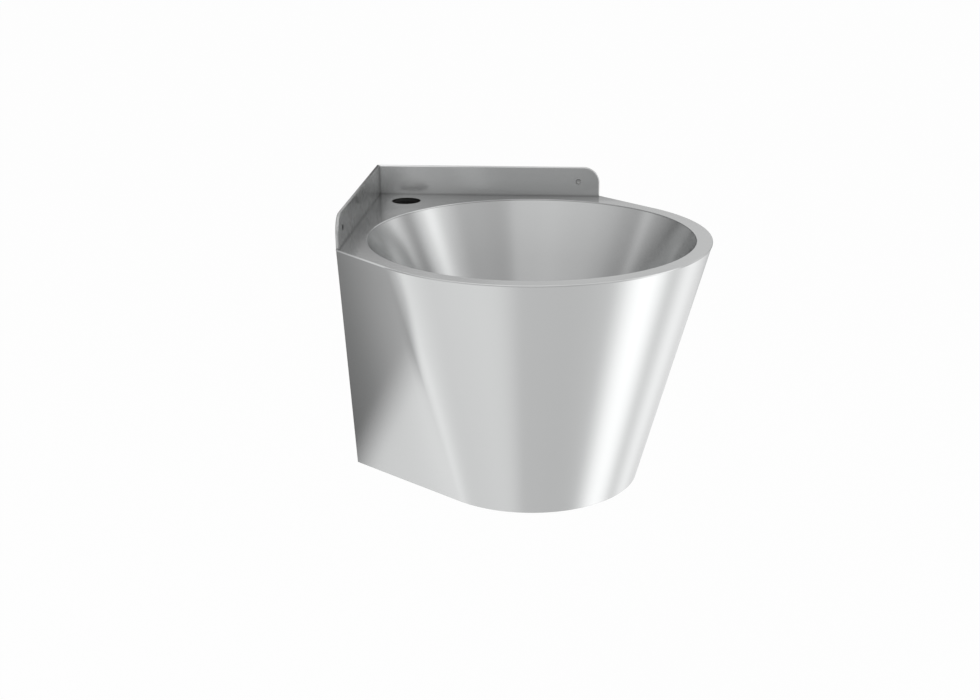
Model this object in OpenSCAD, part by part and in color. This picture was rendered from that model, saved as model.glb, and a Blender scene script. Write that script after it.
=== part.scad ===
// Corner wash basin in satin stainless steel, hung in the corner of a room.
// The origin lies on the corner line of the two walls, at the height of the deck.
// The back wall is the plane Y = 0, the side wall is the plane X = 0, and +Z is up.
// Everything but the drain is symmetric about the vertical plane X = -Y.

/* [Deck] */
// Outer radius of the round front, at the deck
rim_r = 197; // [190:1:210]
// Gap between the front's full circle and each wall
wall_gap = 6; // [3:0.5:10]
// Width of the flat rim round the bowl's mouth
rim_w = 17.5; // [14:0.5:24]
// Length of the deck along each wall
deck_run = 277; // [270:1:290]
// Thickness of the steel sheet
sheet_t = 1.5; // [1:0.1:2]
// Small bevel round the bowl's mouth
mouth_bevel = 0.8; // [0.4:0.1:1]
// Diameter of the tap hole
tap_d = 35; // [28:1:36]
// Distance of the tap hole's centre from each wall
tap_out = 42; // [38:1:46]

/* [Upstands] */
// Height of the upstands above the deck
upstand_h = 36; // [30:1:60]
// Thickness of an upstand over its folded edge
upstand_t = 3.5; // [3.3:0.1:4.5]
// Radius of the upstand's free top corner
upstand_corner_r = 20; // [10:1:26]
// Radius of the fold between deck and upstand
fold_r = 2; // [1:0.5:4]
// Diameter of the screw hole in each upstand
upstand_hole_d = 6.5; // [4:0.5:8]
// Distance of that hole from the upstand's free end
upstand_hole_in = 26; // [20:1:60]
// Height of that hole above the deck
upstand_hole_up = 18; // [12:1:20]

/* [Bowl] */
// Depth of the bowl, from the deck to the edge of the waste recess
bowl_depth = 125; // [100:1:135]
// Lean of the bowl's wall from the vertical, in degrees
bowl_lean = 26; // [20:1:32]
// Fall of the bowl's floor towards the waste, in degrees
floor_fall = 4; // [2:0.5:6]
// Radius between the bowl's wall and its floor
floor_round = 40; // [25:1:50]
// Width of the welding lip under the deck
lip_w = 8; // [5:1:10]
// Radius of the waste recess at the floor
recess_r = 41; // [39:1:46]
// Depth of the waste recess
recess_depth = 5; // [4:0.5:6]

/* [Skirt] */
// Height of the basin's skirt, from the deck down to its lower edge
skirt_h = 277; // [272:1:300]
// Radius of the skirt's round front at its lower edge
base_r = 123; // [115:1:135]
// Length of the skirt's lower edge along each wall
base_run = 205; // [195:1:215]
// Width of the return flange inside the lower edge
base_flange_w = 16; // [10:1:22]
// Width of the wall flanges inside the skirt's upright edges
wall_flange_w = 24; // [18:1:28]
// Diameter of the screw holes in the wall flanges
wall_hole_d = 7; // [5:0.5:9]
// Distance of those holes from the flange's ends
wall_hole_in = 45; // [25:1:80]

/* [Corner bracket] */
// Length of the hanging bracket along each wall
bracket_l = 110; // [90:1:130]
// Height of the hanging bracket
bracket_h = 60; // [40:1:70]
// Diameter of the screw holes in the bracket
bracket_hole_d = 7; // [5:0.5:9]
// Distance of those holes from the ends of each leg
bracket_hole_in = 20; // [14:1:30]

/* [Waste] */
// Diameter of the waste flange in the bowl
waste_flange_d = 63; // [58:1:66]
// Outer diameter of the waste's tail, over its thread
tail_d = 41.9; // [38:0.1:43]
// Inner diameter of the waste's tail
tail_bore_d = 35; // [30:1:36]
// Length of the tail below the bowl
tail_len = 39; // [36:1:42]
// Number of holes in the outer ring of the strainer
strainer_holes = 12; // [8:1:12]
// Size of the backnut across its flats
backnut_af = 55; // [52:1:60]

/* [Trap] */
// Outer diameter of the drain pipe
pipe_d = 32; // [30:0.5:33]
// Wall of the drain pipe
pipe_wall = 1.5; // [1:0.1:2]
// Outer radius of the bottle trap's head
head_r = 33; // [31:0.5:36]
// Length of the neck between the trap's collar and its head
neck_len = 8.55; // [8:0.05:11]
// Distance from the trap's axis to the middle of the drain's elbow
elbow_out = 104; // [100:1:112]
// Length of drain pipe that enters the wall
pipe_in_wall = 30; // [20:1:60]
// Length of the trap's cup below its head
cup_len = 41.5; // [36:0.5:44]
// Outer radius of the wall rosette
rosette_r = 32; // [28:1:38]

/* [Hidden] */

// Overrun of a cut past the face that it leaves
cut = 1;
// Radial clearance of a turned piece in its seat
fit_gap = 0.1;
// Clearance of a loose piece in its seat
loose_gap = 0.3;
// Facets of a full turn, and steps of the skirt's flanks and front
round_fn = 96;
flank_steps = 8;
front_steps = 64;

// Colours
satin_steel = [0.70, 0.70, 0.70];
bright_steel = [0.80, 0.80, 0.81];
black_coat = [0.06, 0.06, 0.06];
black_rubber = [0.12, 0.12, 0.12];
white_plastic = [0.90, 0.90, 0.88];
clear_plastic = [0.82, 0.84, 0.84];
grey_pad = [0.30, 0.30, 0.31];

// Plan of the basin. A flank is a straight line from a wall to the round front, which it touches.
axis_out = rim_r + wall_gap;
bowl_r = rim_r - rim_w;
bowl_axis = [axis_out, -axis_out];
function flank_angle(run, r) = asin(r / norm([axis_out, run - axis_out]))
    - atan2(run - axis_out, axis_out);
function touch_point(a, r) = [axis_out - r * sin(a), -axis_out - r * cos(a)];
function wall_point(a, r) = [0, touch_point(a, r).y + touch_point(a, r).x * tan(a)];
function across(p) = [-p.y, -p.x];
function between(p, q, share) = p + (q - p) * share;
function turned(list) = [for (i = [len(list) - 1 : -1 : 0]) list[i]];
function flank(a, r) = [for (i = [0 : flank_steps - 1])
    between(wall_point(a, r), touch_point(a, r), i / flank_steps)];
function front(a, r) = [for (i = [0 : front_steps])
    let (turn = -90 - a + (90 + 2 * a) * i / front_steps) bowl_axis + r * [cos(turn), sin(turn)]];
function outline(a, r) = concat(flank(a, r), front(a, r), turned([for (p = flank(a, r)) across(p)]));
deck_angle = flank_angle(deck_run, rim_r);
base_angle = flank_angle(base_run, base_r);

// Heights of the pieces on the bowl's axis
seat_z = -bowl_depth - recess_depth;
under_z = seat_z - sheet_t;
upper_gasket_t = 2;
waste_flange_t = 2.5;
waste_top_z = seat_z + upper_gasket_t + waste_flange_t;
lower_gasket_t = 4;
friction_t = 1.5;
backnut_h = 10;
friction_z = under_z - lower_gasket_t;
backnut_z = friction_z - friction_t;
tail_end_z = under_z - tail_len;
trap_washer_t = 2.5;
collar_top_z = tail_end_z - trap_washer_t;
head_wall = 2.5;
head_roof_z = collar_top_z - neck_len;
outlet_z = head_roof_z - head_wall - tail_d / 2;
head_foot_z = outlet_z - tail_d / 2 - head_wall;
cup_z = head_foot_z - cup_len;

// The deck is one sheet with both upstands folded up from it. Their top edges are hemmed:
// the sheet turns back on itself behind the upstand, which makes the edge safe and stiff.
module deck_plan() {
    translate(bowl_axis) circle(r = rim_r, $fn = round_fn);
    polygon([[0, 0], wall_point(deck_angle, rim_r), touch_point(deck_angle, rim_r), bowl_axis,
        across(touch_point(deck_angle, rim_r)), across(wall_point(deck_angle, rim_r))]);
}

module upstand_shape() {
    square([deck_run - upstand_corner_r, upstand_h]);
    intersection() {
        square([deck_run, upstand_h]);
        union() {
            square([deck_run, upstand_h - upstand_corner_r]);
            translate([deck_run - upstand_corner_r, upstand_h - upstand_corner_r])
                circle(r = upstand_corner_r, $fn = round_fn);
        }
    }
}

hem_r = upstand_t / 2;
module upstand_inset() {
    square([deck_run - upstand_corner_r, upstand_h - hem_r]);
    translate([0, -cut]) square([deck_run + cut, upstand_h - upstand_corner_r + cut]);
    translate([deck_run - upstand_corner_r, upstand_h - upstand_corner_r])
        circle(r = upstand_corner_r - hem_r, $fn = round_fn);
}

module upstand_sheet(out, thickness) {
    translate([0, -out, 0]) rotate([90, 0, 0]) linear_extrude(thickness) upstand_shape();
}

module upstand() {
    difference() {
        union() {
            upstand_sheet(0, sheet_t);
            upstand_sheet(upstand_t - sheet_t, sheet_t);
            translate([0, -sheet_t, 0]) rotate([90, 0, 0]) linear_extrude(upstand_t - 2 * sheet_t)
                difference() {
                    upstand_shape();
                    upstand_inset();
                }
            fold_fillet();
        }
        translate([deck_run - upstand_hole_in, 0, upstand_hole_up]) rotate([90, 0, 0])
            translate([0, 0, -cut])
                cylinder(d = upstand_hole_d, h = upstand_t + 2 * cut, $fn = round_fn);
    }
}

module fold_fillet() {
    translate([0, -upstand_t, 0]) rotate([90, 0, 90]) linear_extrude(deck_run)
        difference() {
            translate([-fold_r, 0]) square([fold_r, fold_r]);
            translate([-fold_r, fold_r]) circle(r = fold_r, $fn = round_fn);
        }
}

module on_left_wall() {
    mirror([1, 1, 0]) children();
}

module deck_with_upstands() {
    color(satin_steel) difference() {
        union() {
            translate([0, 0, -sheet_t]) linear_extrude(sheet_t) deck_plan();
            upstand();
            on_left_wall() upstand();
        }
        translate([axis_out, -axis_out, -sheet_t - cut])
            cylinder(r = bowl_r, h = sheet_t + 2 * cut, $fn = round_fn);
        translate([axis_out, -axis_out, -mouth_bevel])
            cylinder(r1 = bowl_r, r2 = bowl_r + mouth_bevel + cut, h = mouth_bevel + cut, $fn = round_fn);
        translate([tap_out, -tap_out, -sheet_t - cut])
            cylinder(d = tap_d, h = sheet_t + 2 * cut, $fn = round_fn);
    }
}

// A round plate welded under the deck stiffens it where the tap is clamped.
tap_plate_t = 3;
tap_plate_margin = 12;
module tap_hole_plate() {
    color(black_coat) translate([tap_out, -tap_out, -sheet_t - tap_plate_t]) difference() {
        cylinder(d = tap_d + 2 * tap_plate_margin, h = tap_plate_t, $fn = round_fn);
        translate([0, 0, -cut]) cylinder(d = tap_d, h = tap_plate_t + 2 * cut, $fn = round_fn);
    }
}

// A folded angle is screwed into the room's corner first. The deck's corner rests on its top edge.
bracket_t = 2;
module corner_bracket() {
    color(black_coat) difference() {
        translate([0, 0, -sheet_t - bracket_h]) linear_extrude(bracket_h)
            polygon([[0, 0], [bracket_l, 0], [bracket_l, -bracket_t], [bracket_t, -bracket_t],
                [bracket_t, -bracket_l], [0, -bracket_l]]);
        bracket_holes();
        on_left_wall() bracket_holes();
    }
}
module bracket_holes() {
    for (x = [bracket_hole_in, bracket_l - bracket_hole_in])
        translate([x, cut, -sheet_t - bracket_h / 2]) rotate([90, 0, 0])
            cylinder(d = bracket_hole_d, h = bracket_t + 2 * cut, $fn = round_fn);
}

// Half section of the bowl's inside, as radius and height: a leaning wall, a round and a falling
// floor. The same section, taken thicker by t, gives the outside.
wall_dir = [-sin(bowl_lean), -cos(bowl_lean)];
wall_in = [-cos(bowl_lean), sin(bowl_lean)];
floor_dir = [-cos(floor_fall), -sin(floor_fall)];
floor_up = [-sin(floor_fall), cos(floor_fall)];
mouth_pt = [bowl_r, -sheet_t];
floor_pt = [recess_r, -bowl_depth];
round_reach = (floor_round - floor_up * (mouth_pt + wall_in * floor_round - floor_pt))
    / (floor_up * wall_dir);
round_centre = mouth_pt + wall_in * floor_round + wall_dir * round_reach;
round_steps = 12;
function bowl_round(t) = [for (i = [0 : round_steps])
    let (turn = -bowl_lean - (90 - floor_fall - bowl_lean) * i / round_steps)
    round_centre + (floor_round + t) * [cos(turn), sin(turn)]];
function wall_at(z, t) = mouth_pt.x - t * wall_in.x
    + (z - mouth_pt.y + t * wall_in.y) * wall_dir.x / wall_dir.y;
function floor_at(x, t) = floor_pt.y - t * floor_up.y
    + (x - floor_pt.x + t * floor_up.x) * floor_dir.y / floor_dir.x;

// The waste passes through a hole in the flat bottom of the recess.
waste_hole_r = tail_d / 2 + loose_gap;
recess_foot_r = recess_r - recess_depth;
module bowl() {
    mitre = sheet_t * tan(90 / 4);
    color(satin_steel) translate(bowl_axis) rotate_extrude($fn = round_fn)
        polygon(concat(
            [mouth_pt],
            bowl_round(0),
            [floor_pt, [recess_foot_r, seat_z], [waste_hole_r, seat_z], [waste_hole_r, under_z],
                [recess_foot_r + mitre, under_z],
                [recess_r + mitre, floor_at(recess_r + mitre, sheet_t)]],
            turned(bowl_round(sheet_t)),
            [[wall_at(-2 * sheet_t, sheet_t), -2 * sheet_t],
                [bowl_r + lip_w, -2 * sheet_t], [bowl_r + lip_w, -sheet_t]]));
}

// A ring of heavy felt is glued under the floor, to damp the drumming of the water.
pad_t = 3;
pad_margin_share = 0.25;
pad_inner_r = recess_r + (round_centre.x - recess_r) * pad_margin_share;
pad_outer_r = round_centre.x;
module sound_pad() {
    color(grey_pad) translate(bowl_axis) rotate_extrude($fn = round_fn)
        polygon([[pad_inner_r, floor_at(pad_inner_r, sheet_t)],
            [pad_outer_r, floor_at(pad_outer_r, sheet_t)],
            [pad_outer_r, floor_at(pad_outer_r, sheet_t + pad_t)],
            [pad_inner_r, floor_at(pad_inner_r, sheet_t + pad_t)]]);
}

// The skirt is a ruled shell. Straight lines join its upper outline, under the deck, to the
// smaller lower one, so it is a cone in front and runs out into two flanks at the walls.
function skirt_ring(inset, z) = let (upper = outline(deck_angle, rim_r - inset),
    lower = outline(base_angle, base_r - inset))
    [for (i = [0 : len(upper) - 1]) let (p = between(upper[i], lower[i], -z / skirt_h)) [p.x, p.y, z]];
module skirt() {
    rings = [skirt_ring(0, -sheet_t), skirt_ring(0, -skirt_h),
        skirt_ring(sheet_t, -skirt_h), skirt_ring(sheet_t, -sheet_t)];
    n = len(rings[0]);
    sides = [for (k = [0 : 3]) for (i = [0 : n - 2]) let (a = k * n + i, b = ((k + 1) % 4) * n + i)
        each [[a, b, b + 1], [a, b + 1, a + 1]]];
    ends = [[0, 3 * n, n], [n, 3 * n, 2 * n],
        [n - 1, 2 * n - 1, 4 * n - 1], [2 * n - 1, 3 * n - 1, 4 * n - 1]];
    color(satin_steel)
        polyhedron([for (ring = rings) each ring], concat(sides, ends), convexity = 6);
}

// A flat ring cut from sheet is welded inside the lower edge, which keeps it round and smooth.
module base_flange() {
    color(satin_steel) translate([0, 0, -skirt_h]) linear_extrude(sheet_t)
        polygon(concat(outline(base_angle, base_r - sheet_t),
            turned(outline(base_angle, base_r - sheet_t - base_flange_w))));
}

// A flat strip is welded inside each upright edge of the skirt and is screwed to the wall.
function skirt_edge(z) = -between(wall_point(deck_angle, rim_r - sheet_t),
    wall_point(base_angle, base_r - sheet_t), -z / skirt_h).y;
flange_top_z = -sheet_t;
flange_foot_z = sheet_t - skirt_h;
module wall_flange() {
    color(satin_steel) difference() {
        rotate([90, 0, 0]) linear_extrude(sheet_t)
            polygon([[skirt_edge(flange_top_z), flange_top_z],
                [skirt_edge(flange_foot_z), flange_foot_z],
                [skirt_edge(flange_foot_z) - wall_flange_w, flange_foot_z],
                [skirt_edge(flange_top_z) - wall_flange_w, flange_top_z]]);
        for (z = [flange_top_z - wall_hole_in, flange_foot_z + wall_hole_in])
            translate([skirt_edge(z) - wall_flange_w / 2, cut, z]) rotate([90, 0, 0])
                cylinder(d = wall_hole_d, h = sheet_t + 2 * cut, $fn = round_fn);
    }
}
module right_wall_flange() {
    wall_flange();
}
module left_wall_flange() {
    on_left_wall() wall_flange();
}

// A small lug low on the left wall flange takes the earth wire's screw, which goes in from below.
earth_l = 20;
earth_w = 14;
earth_hold = 8;
earth_up = 15;
earth_hole_d = 5.3;
earth_z = earth_up - skirt_h;
module earth_tag() {
    earth_x = skirt_edge(earth_z) - wall_flange_w + earth_hold - earth_w;
    color(satin_steel) on_left_wall()
        translate([earth_x, -sheet_t, earth_z]) difference() {
            translate([0, -earth_l, 0]) cube([earth_w, earth_l, sheet_t]);
            translate([earth_w / 2, -earth_l + earth_w / 2, -cut])
                cylinder(d = earth_hole_d, h = sheet_t + 2 * cut, $fn = round_fn);
        }
}

// The waste body is a casting: a flange with a seat for the strainer, a threaded tail, and a
// bridge of three arms that holds the strainer's screw.
strainer_t = 1.5;
strainer_r = waste_flange_d / 2 - 4.5;
screw_d = 5;
boss_r = 5;
arm_w = 3;
bridge_h = 5;
bridge_drop = 1;
arm_reach = (tail_bore_d + tail_d) / 4;
module waste_body() {
    seat = waste_top_z - strainer_t;
    bridge_z = seat - bridge_drop - bridge_h;
    color(bright_steel) translate(bowl_axis) {
        difference() {
            union() {
                translate([0, 0, waste_top_z - waste_flange_t])
                    cylinder(d = waste_flange_d, h = waste_flange_t, $fn = round_fn);
                translate([0, 0, tail_end_z])
                    cylinder(d = tail_d, h = waste_top_z - tail_end_z - waste_flange_t / 2, $fn = round_fn);
            }
            translate([0, 0, tail_end_z - cut])
                cylinder(d = tail_bore_d, h = waste_top_z - tail_end_z + 2 * cut, $fn = round_fn);
            translate([0, 0, seat])
                cylinder(r = strainer_r + fit_gap, h = strainer_t + cut, $fn = round_fn);
        }
        difference() {
            translate([0, 0, bridge_z]) union() {
                cylinder(r = boss_r, h = bridge_h, $fn = round_fn);
                for (turn = [0 : 120 : 240]) rotate(turn)
                    translate([0, -arm_w / 2, 0]) cube([arm_reach, arm_w, bridge_h]);
            }
            translate([0, 0, bridge_z - cut])
                cylinder(d = screw_d + 2 * fit_gap, h = bridge_h + 2 * cut, $fn = round_fn);
        }
    }
}

module washer(outer_r, inner_r, z, t, tone) {
    color(tone) translate([axis_out, -axis_out, z]) difference() {
        cylinder(r = outer_r, h = t, $fn = round_fn);
        translate([0, 0, -cut]) cylinder(r = inner_r, h = t + 2 * cut, $fn = round_fn);
    }
}
gasket_r = waste_flange_d / 2 - 1;
module upper_gasket() {
    washer(gasket_r, tail_d / 2 + fit_gap, seat_z, upper_gasket_t, black_rubber);
}
module lower_gasket() {
    washer(gasket_r, tail_d / 2 + fit_gap, friction_z, lower_gasket_t, black_rubber);
}
module friction_washer() {
    washer(gasket_r, tail_d / 2 + fit_gap, backnut_z, friction_t, white_plastic);
}

// The strainer is a flat disc with two rings of round holes, held by one screw in its middle.
strainer_hole_r = 2.4;
outer_ring_r = strainer_r - 6;
inner_ring_r = outer_ring_r / 2;
screw_head_r = 4.6;
screw_head_h = 2;
module strainer_grid() {
    color(bright_steel) translate([axis_out, -axis_out, waste_top_z - strainer_t]) difference() {
        cylinder(r = strainer_r, h = strainer_t, $fn = round_fn);
        translate([0, 0, -cut]) {
            cylinder(d = screw_d + 2 * fit_gap, h = strainer_t + 2 * cut, $fn = round_fn);
            for (i = [1 : strainer_holes]) rotate(i * 360 / strainer_holes)
                translate([outer_ring_r, 0, 0])
                    cylinder(r = strainer_hole_r, h = strainer_t + 2 * cut, $fn = round_fn);
            for (i = [1 : strainer_holes / 2]) rotate(i * 720 / strainer_holes)
                translate([inner_ring_r, 0, 0])
                    cylinder(r = strainer_hole_r, h = strainer_t + 2 * cut, $fn = round_fn);
        }
    }
}

slot_w = 1.2;
slot_depth = 1;
module strainer_screw() {
    shank = strainer_t + bridge_drop + bridge_h + 2 * loose_gap;
    color(bright_steel) translate([axis_out, -axis_out, waste_top_z]) {
        difference() {
            cylinder(r = screw_head_r, h = screw_head_h, $fn = round_fn);
            translate([-screw_head_r - cut, -slot_w / 2, screw_head_h - slot_depth])
                cube([2 * (screw_head_r + cut), slot_w, slot_depth + cut]);
        }
        translate([0, 0, -shank]) cylinder(d = screw_d, h = shank, $fn = round_fn);
    }
}

module backnut() {
    washer_r = gasket_r;
    washer_h = 2;
    color(white_plastic) translate([axis_out, -axis_out, backnut_z - backnut_h]) difference() {
        union() {
            cylinder(d = backnut_af / cos(180 / 6), h = backnut_h, $fn = 6);
            translate([0, 0, backnut_h - washer_h])
                cylinder(r = washer_r, h = washer_h, $fn = round_fn);
        }
        translate([0, 0, -cut])
            cylinder(d = tail_d + 2 * fit_gap, h = backnut_h + 2 * cut, $fn = round_fn);
    }
}

// A slip nut is a round cap with grip flutes. Its lip draws a collar up against a washer.
nut_wall = 4.5;
nut_lip_t = 4;
flute_r = 2;
flutes = 16;
module slip_nut(h, bore_r, neck_r) {
    color(white_plastic) difference() {
        cylinder(r = bore_r + nut_wall, h = h, $fn = round_fn);
        translate([0, 0, nut_lip_t]) cylinder(r = bore_r, h = h, $fn = round_fn);
        translate([0, 0, -cut]) cylinder(r = neck_r, h = h, $fn = round_fn);
        for (i = [1 : flutes]) rotate(i * 360 / flutes)
            translate([bore_r + nut_wall + flute_r / 2, 0, -cut])
                cylinder(r = flute_r, h = h + 2 * cut, $fn = round_fn);
    }
}

// The bottle trap hangs on the tail. Its head has a collar on top for the inlet nut, and a
// threaded spigot that points to the room's corner. The dip tube takes the water down into
// the cup, and the water leaves over the head's side.
collar_t = 3;
neck_r = pipe_d / 2 + 0.5 * pipe_wall;
bore_r = neck_r - pipe_wall;
collar_r = tail_d / 2 - fit_gap;
inlet_nut_z = collar_top_z - collar_t - nut_lip_t;
inlet_nut_h = 22;
spigot_len = 19;
spigot_end = head_r + spigot_len;
module inlet_washer() {
    washer(collar_r, tail_bore_d / 2, collar_top_z, trap_washer_t, black_rubber);
}
module inlet_nut() {
    translate([axis_out, -axis_out, inlet_nut_z])
        slip_nut(inlet_nut_h, tail_d / 2 + fit_gap, neck_r + loose_gap);
}

module to_corner() {
    translate([axis_out, -axis_out, outlet_z]) rotate([0, 90, 135]) children();
}

module trap_head() {
    head_inside_h = head_roof_z - head_foot_z - head_wall;
    color(white_plastic) difference() {
        union() {
            translate([axis_out, -axis_out, head_foot_z])
                cylinder(r = head_r, h = head_roof_z - head_foot_z, $fn = round_fn);
            translate([axis_out, -axis_out, head_roof_z])
                cylinder(r = neck_r, h = collar_top_z - head_roof_z, $fn = round_fn);
            translate([axis_out, -axis_out, collar_top_z - collar_t])
                cylinder(r = collar_r, h = collar_t, $fn = round_fn);
            to_corner() cylinder(d = tail_d, h = spigot_end, $fn = round_fn);
        }
        translate([axis_out, -axis_out, head_foot_z - cut])
            cylinder(r = head_r - head_wall, h = head_inside_h + cut, $fn = round_fn);
        translate([axis_out, -axis_out, head_foot_z - cut])
            cylinder(r = bore_r, h = collar_top_z - head_foot_z + 2 * cut, $fn = round_fn);
        to_corner() cylinder(d = pipe_d + 2 * fit_gap, h = spigot_end + cut, $fn = round_fn);
    }
}

dip_wall = 1.2;
dip_end_up = 14;
module dip_tube() {
    foot = cup_z + dip_end_up;
    color(white_plastic) translate([axis_out, -axis_out, foot]) difference() {
        cylinder(r = bore_r - fit_gap, h = collar_top_z - collar_t - foot, $fn = round_fn);
        translate([0, 0, -cut])
            cylinder(r = bore_r - fit_gap - dip_wall, h = collar_top_z - foot, $fn = round_fn);
    }
}

cup_seal_t = 2.5;
module cup_seal() {
    washer(head_r, head_r - head_wall - fit_gap, head_foot_z - cup_seal_t, cup_seal_t, black_rubber);
}

// The cup screws up round the head and can be taken off by hand to clean the trap.
cup_wall = 2;
cup_collar_up = 8;
cup_r = head_r - 3;
cup_floor_round = 10;
cup_ribs = 24;
cup_rib_w = 2;
cup_rib_out = 1;
module trap_cup() {
    rest = head_foot_z - cup_seal_t;
    collar_in = head_r + fit_gap;
    collar_out = collar_in + cup_wall;
    collar_top = head_foot_z + cup_collar_up;
    round_turn = [for (i = [0 : round_steps]) -90 * i / round_steps];
    color(clear_plastic) translate(bowl_axis) {
        rotate_extrude($fn = round_fn) polygon(concat(
            [[0, cup_z], [0, cup_z + cup_wall], [cup_r - cup_floor_round, cup_z + cup_wall]],
            [for (turn = turned(round_turn)) [cup_r - cup_floor_round, cup_z + cup_floor_round]
                + (cup_floor_round - cup_wall) * [cos(turn), sin(turn)]],
            [[cup_r - cup_wall, rest], [collar_in, rest], [collar_in, collar_top],
                [collar_out, collar_top], [collar_out, rest - cup_wall],
                [cup_r, rest - 2 * cup_wall]],
            [for (turn = round_turn) [cup_r - cup_floor_round, cup_z + cup_floor_round]
                + cup_floor_round * [cos(turn), sin(turn)]]));
        for (i = [1 : cup_ribs]) rotate(i * 360 / cup_ribs)
            translate([collar_out - cup_wall / 2, -cup_rib_w / 2, rest - cup_wall])
                cube([cup_wall / 2 + cup_rib_out, cup_rib_w, collar_top - rest + cup_wall]);
    }
}

// A short drain pipe leaves the head towards the room's corner. A drum-shaped elbow turns the way
// round, and the wall pipe enters the back wall square.
outlet_washer_t = 3;
outlet_nut_h = 16;
module outlet_washer() {
    color(black_rubber) to_corner() translate([0, 0, spigot_end]) difference() {
        cylinder(r = tail_d / 2, h = outlet_washer_t, $fn = round_fn);
        translate([0, 0, -cut])
            cylinder(d = pipe_d + 2 * fit_gap, h = outlet_washer_t + 2 * cut, $fn = round_fn);
    }
}
module outlet_nut() {
    to_corner() translate([0, 0, spigot_end + outlet_washer_t + nut_lip_t]) mirror([0, 0, 1])
        slip_nut(outlet_nut_h, tail_d / 2 + fit_gap, pipe_d / 2 + loose_gap);
}

pipe_start = head_r + 3;
pipe_x = axis_out - elbow_out * cos(45);
elbow_y = elbow_out * sin(45) - axis_out;
pipe_stop = 20;
module drain_pipe() {
    color(white_plastic) to_corner() translate([0, 0, pipe_start]) difference() {
        cylinder(d = pipe_d, h = elbow_out - pipe_stop - pipe_start, $fn = round_fn);
        translate([0, 0, -cut])
            cylinder(d = pipe_d - 2 * pipe_wall, h = elbow_out - pipe_start, $fn = round_fn);
    }
}

elbow_wall = 3.5;
socket_len = 35;
socket_r = pipe_d / 2 + elbow_wall;
drum_r = socket_r + 2;
drum_up = socket_r + 2;
module drain_elbow() {
    color(white_plastic) translate([pipe_x, elbow_y, outlet_z]) difference() {
        union() {
            translate([0, 0, -drum_up]) cylinder(r = drum_r, h = 2 * drum_up, $fn = round_fn);
            rotate([0, 90, -45]) cylinder(r = socket_r, h = socket_len, $fn = round_fn);
            rotate([-90, 0, 0]) cylinder(r = socket_r, h = socket_len, $fn = round_fn);
        }
        translate([0, 0, elbow_wall - drum_up])
            cylinder(r = drum_r - elbow_wall, h = 2 * (drum_up - elbow_wall), $fn = round_fn);
        rotate([0, 90, -45]) cylinder(d = pipe_d + 2 * fit_gap, h = socket_len + cut, $fn = round_fn);
        rotate([-90, 0, 0]) cylinder(d = pipe_d + 2 * fit_gap, h = socket_len + cut, $fn = round_fn);
    }
}

// The wall pipe's last stretch is turned slightly smaller to enter the seal of the drain.
end_relief = 0.6;
module wall_pipe() {
    to_wall = -elbow_y - pipe_stop;
    color(white_plastic)
        translate([pipe_x, elbow_y + pipe_stop, outlet_z]) rotate([-90, 0, 0]) difference() {
            union() {
                cylinder(d = pipe_d, h = to_wall, $fn = round_fn);
                cylinder(d = pipe_d - 2 * end_relief, h = to_wall + pipe_in_wall, $fn = round_fn);
            }
            translate([0, 0, -cut])
                cylinder(d = pipe_d - 2 * pipe_wall, h = pipe_in_wall - elbow_y, $fn = round_fn);
        }
}

rosette_depth = 9;
rosette_wall = 1.2;
module wall_rosette() {
    hub_r = pipe_d / 2 + fit_gap;
    color(white_plastic) translate([pipe_x, 0, outlet_z]) rotate([90, 0, 0])
        rotate_extrude($fn = round_fn)
            polygon([[rosette_r, 0], [rosette_r, rosette_wall],
                [hub_r + 2 * rosette_wall, rosette_depth],
                [hub_r, rosette_depth], [hub_r, rosette_depth - rosette_wall],
                [hub_r + rosette_wall, rosette_depth - rosette_wall],
                [rosette_r - 2 * rosette_wall, 0]]);
}

deck_with_upstands();
tap_hole_plate();
corner_bracket();
bowl();
sound_pad();
skirt();
base_flange();
right_wall_flange();
left_wall_flange();
earth_tag();
waste_body();
upper_gasket();
strainer_grid();
strainer_screw();
lower_gasket();
friction_washer();
backnut();
inlet_washer();
inlet_nut();
trap_head();
dip_tube();
cup_seal();
trap_cup();
outlet_washer();
outlet_nut();
drain_pipe();
drain_elbow();
wall_pipe();
wall_rosette();
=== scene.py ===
# A wall-hung corner wash basin in satin stainless steel, with its waste and its bottle trap.
import math
import bmesh
import bpy
from mathutils import Matrix, Vector


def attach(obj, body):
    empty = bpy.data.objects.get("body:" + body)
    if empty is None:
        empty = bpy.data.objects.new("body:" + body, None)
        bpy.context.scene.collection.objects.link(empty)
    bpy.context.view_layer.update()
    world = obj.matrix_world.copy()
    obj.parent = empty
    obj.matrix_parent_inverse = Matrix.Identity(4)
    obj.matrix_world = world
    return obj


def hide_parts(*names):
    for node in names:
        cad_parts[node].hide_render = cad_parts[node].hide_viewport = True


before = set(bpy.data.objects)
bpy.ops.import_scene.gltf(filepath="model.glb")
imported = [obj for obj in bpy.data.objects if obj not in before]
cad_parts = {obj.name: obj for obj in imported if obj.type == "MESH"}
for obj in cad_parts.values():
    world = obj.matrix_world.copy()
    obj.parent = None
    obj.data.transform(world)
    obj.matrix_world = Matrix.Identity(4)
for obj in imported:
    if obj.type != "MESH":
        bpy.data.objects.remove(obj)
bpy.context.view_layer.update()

# The deck is a flat sheet of 1.5 mm stainless steel with a wide round opening for the bowl and a
# tap hole near its back corner. Its rim and the mouth's edge are ground round, and it is ground
# with a fine belt to a satin finish, so that it mirrors its surroundings only as soft shapes.
bowl_axis = Vector((0.203, -0.203, 0))
sheet = 0.0015
deck_run, rim_radius, mouth_radius = 0.277, 0.197, 0.1795
tap_centre, tap_radius = Vector((0.042, -0.042, 0)), 0.0175
rim_rounding, mouth_rounding = 0.0010, 0.0011


def last_vertex(arc):
    """The vertex at the end of a spun line."""
    return [v for v in arc["geom_last"] if isinstance(v, bmesh.types.BMVert)][0]


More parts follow.
